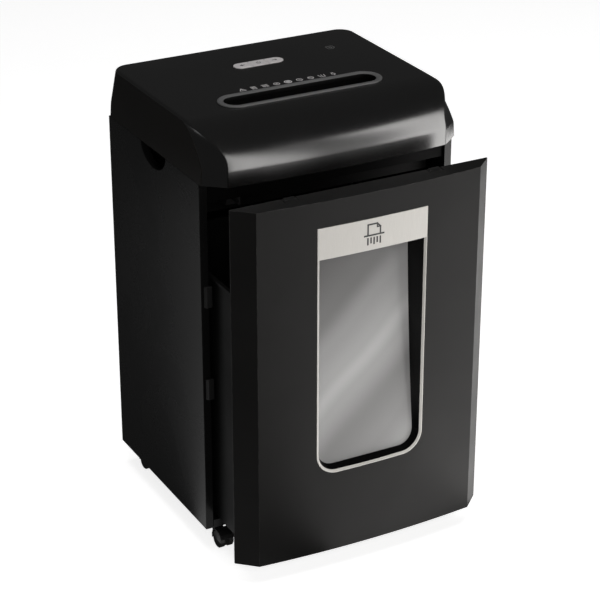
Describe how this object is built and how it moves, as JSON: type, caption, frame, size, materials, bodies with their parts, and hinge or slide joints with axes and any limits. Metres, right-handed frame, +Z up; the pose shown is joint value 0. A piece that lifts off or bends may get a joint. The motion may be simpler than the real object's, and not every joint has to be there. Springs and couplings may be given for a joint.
{
  "type": "paper shredder",
  "caption": "Office paper shredder on castors: gloss black cutting head with paper slot and push keys over a cabinet, with a pull-out waste bin that has a window and a silver handle band.",
  "frame": {"origin": "on the floor, under the middle of the outer box with the bin standing 85 mm open", "axes": "+X to the right seen from the front, +Y to the rear, +Z up"},
  "size_m": [0.374, 0.4016, 0.6123],
  "materials": {
    "cabinet_black": "satin black cabinet panels",
    "trim_black": "moulded black trim",
    "castor_black": "moulded black nylon",
    "wheel_grey": "dark grey wheel",
    "front_black": "finely textured satin black",
    "bin_black": "moulded black, lightly textured",
    "satin_silver": "satin, slightly warm silver",
    "pocket_black": "smooth black",
    "smoked_pane": "smoked clear plastic, polished",
    "gloss_black": "high gloss black",
    "cheek_black": "satin black",
    "base_black": "moulded black",
    "bezel_grey": "satin mid grey",
    "throat_black": "matt black",
    "flag_white": "moulded off-white",
    "switch_black": "moulded black",
    "key_silver": "satin silver paint",
    "lens_white": "clear white lens",
    "board_green": "solder mask",
    "cutter_steel": "machined steel",
    "comb_black": "moulded black nylon",
    "bush_bronze": "sintered bronze",
    "gear_nylon": "natural nylon",
    "motor_steel": "zinc-plated steel can",
    "armature_copper": "copper winding on a steel core"
  },
  "bodies": {
    "cabinet": {"side_panel_left": "cabinet_black", "side_panel_right": "cabinet_black", "rear_panel": "cabinet_black", "base_panel": "cabinet_black", "top_rail": "throat_black", "catch_block_left_upper": "trim_black", "catch_block_left_lower": "trim_black", "catch_block_right_upper": "trim_black", "catch_block_right_lower": "trim_black", "top_cover": "gloss_black", "head_cheek_left": "cheek_black", "head_cheek_right": "cheek_black", "head_base": "base_black", "slot_bezel": "bezel_grey", "feed_throat": "throat_black", "paper_switch": "switch_black", "status_lens": "lens_white", "control_board": "board_green", "power_board": "board_green", "bin_switch": "switch_black", "cord_gland": "trim_black", "cutter_plate_left": "cutter_steel", "cutter_plate_right": "cutter_steel", "tie_bar_front": "cutter_steel", "tie_bar_rear": "cutter_steel", "comb_front": "comb_black", "comb_rear": "comb_black", "roll_bush_front_left": "bush_bronze", "roll_bush_front_right": "bush_bronze", "roll_bush_rear_left": "bush_bronze", "roll_bush_rear_right": "bush_bronze", "motor_case": "motor_steel"},
    "bin": {"bin_front": "front_black", "window_frame": "satin_silver", "window_pocket": "pocket_black", "window_pane": "smoked_pane", "inner_panel": "bin_black", "bin_tub": "bin_black"},
    "key_reverse": {"key_reverse": "key_silver"},
    "key_auto": {"key_auto": "key_silver"},
    "key_forward": {"key_forward": "key_silver"},
    "paper_flag": {"paper_flag": "flag_white"},
    "switch_plunger": {"switch_plunger": "switch_black"},
    "motor_rotor": {"motor_armature": "armature_copper", "motor_pinion": "cutter_steel"},
    "first_gear": {"first_gear": "gear_nylon"},
    "second_gear": {"second_gear": "gear_nylon"},
    "rear_roll": {"cutter_roll_rear": "cutter_steel", "drive_gear": "cutter_steel", "sync_gear_rear": "cutter_steel"},
    "front_roll": {"cutter_roll_front": "cutter_steel", "sync_gear_front": "cutter_steel"},
    "castor_front_left": {"castor_hood_front_left": "castor_black"},
    "wheels_front_left": {"castor_wheels_front_left": "wheel_grey"},
    "castor_front_right": {"castor_hood_front_right": "castor_black"},
    "wheels_front_right": {"castor_wheels_front_right": "wheel_grey"},
    "castor_rear_left": {"castor_hood_rear_left": "castor_black"},
    "wheels_rear_left": {"castor_wheels_rear_left": "wheel_grey"},
    "castor_rear_right": {"castor_hood_rear_right": "castor_black"},
    "wheels_rear_right": {"castor_wheels_rear_right": "wheel_grey"}
  },
  "joints": [
    {"name": "bin_slide", "type": "slide", "parent": "cabinet", "child": "bin", "axis": [0, -1, 0], "range_m": [-0.0847, 0.11]},
    {"name": "key_reverse_press", "type": "slide", "parent": "cabinet", "child": "key_reverse", "axis": [0, 0, -1], "range_m": [0, 0.001], "stiffness_N_per_m": 600},
    {"name": "key_auto_press", "type": "slide", "parent": "cabinet", "child": "key_auto", "axis": [0, 0, -1], "range_m": [0, 0.001], "stiffness_N_per_m": 600},
    {"name": "key_forward_press", "type": "slide", "parent": "cabinet", "child": "key_forward", "axis": [0, 0, -1], "range_m": [0, 0.001], "stiffness_N_per_m": 600},
    {"name": "paper_flag_tilt", "type": "hinge", "parent": "cabinet", "child": "paper_flag", "pos_m": [0, 0.0118, 0.572], "axis": [1, 0, 0], "range_deg": [0, 45], "stiffness_Nm_per_rad": 0.02},
    {"name": "switch_plunger_press", "type": "slide", "parent": "cabinet", "child": "switch_plunger", "axis": [0, 1, 0], "range_m": [0, 0.003], "stiffness_N_per_m": 300},
    {"name": "castor_swivel_front_left", "type": "hinge", "parent": "cabinet", "child": "castor_front_left", "pos_m": [-0.16, -0.0622, 0.02], "axis": [0, 0, 1], "continuous": true},
    {"name": "wheels_roll_front_left", "type": "hinge", "parent": "castor_front_left", "child": "wheels_front_left", "pos_m": [-0.16, -0.0792, 0.0126], "axis": [1, 0, 0], "continuous": true},
    {"name": "castor_swivel_front_right", "type": "hinge", "parent": "cabinet", "child": "castor_front_right", "pos_m": [0.16, -0.0622, 0.02], "axis": [0, 0, 1], "continuous": true},
    {"name": "wheels_roll_front_right", "type": "hinge", "parent": "castor_front_right", "child": "wheels_front_right", "pos_m": [0.16, -0.0792, 0.0126], "axis": [1, 0, 0], "continuous": true},
    {"name": "castor_swivel_rear_left", "type": "hinge", "parent": "cabinet", "child": "castor_rear_left", "pos_m": [-0.16, 0.1808, 0.02], "axis": [0, 0, 1], "continuous": true},
    {"name": "wheels_roll_rear_left", "type": "hinge", "parent": "castor_rear_left", "child": "wheels_rear_left", "pos_m": [-0.16, 0.1638, 0.0126], "axis": [1, 0, 0], "continuous": true},
    {"name": "castor_swivel_rear_right", "type": "hinge", "parent": "cabinet", "child": "castor_rear_right", "pos_m": [0.16, 0.1808, 0.02], "axis": [0, 0, 1], "continuous": true},
    {"name": "wheels_roll_rear_right", "type": "hinge", "parent": "castor_rear_right", "child": "wheels_rear_right", "pos_m": [0.16, 0.1638, 0.0126], "axis": [1, 0, 0], "continuous": true},
    {"name": "motor_spin", "type": "hinge", "parent": "cabinet", "child": "motor_rotor", "pos_m": [0.14, 0.10294, 0.52925], "axis": [1, 0, 0], "continuous": true},
    {"name": "first_gear_spin", "type": "hinge", "parent": "cabinet", "child": "first_gear", "pos_m": [0.14, 0.07144, 0.52925], "axis": [1, 0, 0], "continuous": true},
    {"name": "second_gear_spin", "type": "hinge", "parent": "cabinet", "child": "second_gear", "pos_m": [0.14, 0.03956, 0.53779], "axis": [1, 0, 0], "continuous": true},
    {"name": "rear_roll_spin", "type": "hinge", "parent": "cabinet", "child": "rear_roll", "pos_m": [0.14, 0.0113, 0.518], "axis": [1, 0, 0], "continuous": true},
    {"name": "front_roll_spin", "type": "hinge", "parent": "cabinet", "child": "front_roll", "pos_m": [0.14, -0.0217, 0.518], "axis": [1, 0, 0], "continuous": true}
  ],
  "couplings": [
    {"joint": "first_gear_spin", "follows": "motor_spin", "ratio": -0.3125},
    {"joint": "second_gear_spin", "follows": "motor_spin", "ratio": 0.11719},
    {"joint": "rear_roll_spin", "follows": "motor_spin", "ratio": -0.04136},
    {"joint": "front_roll_spin", "follows": "motor_spin", "ratio": 0.04136}
  ]
}
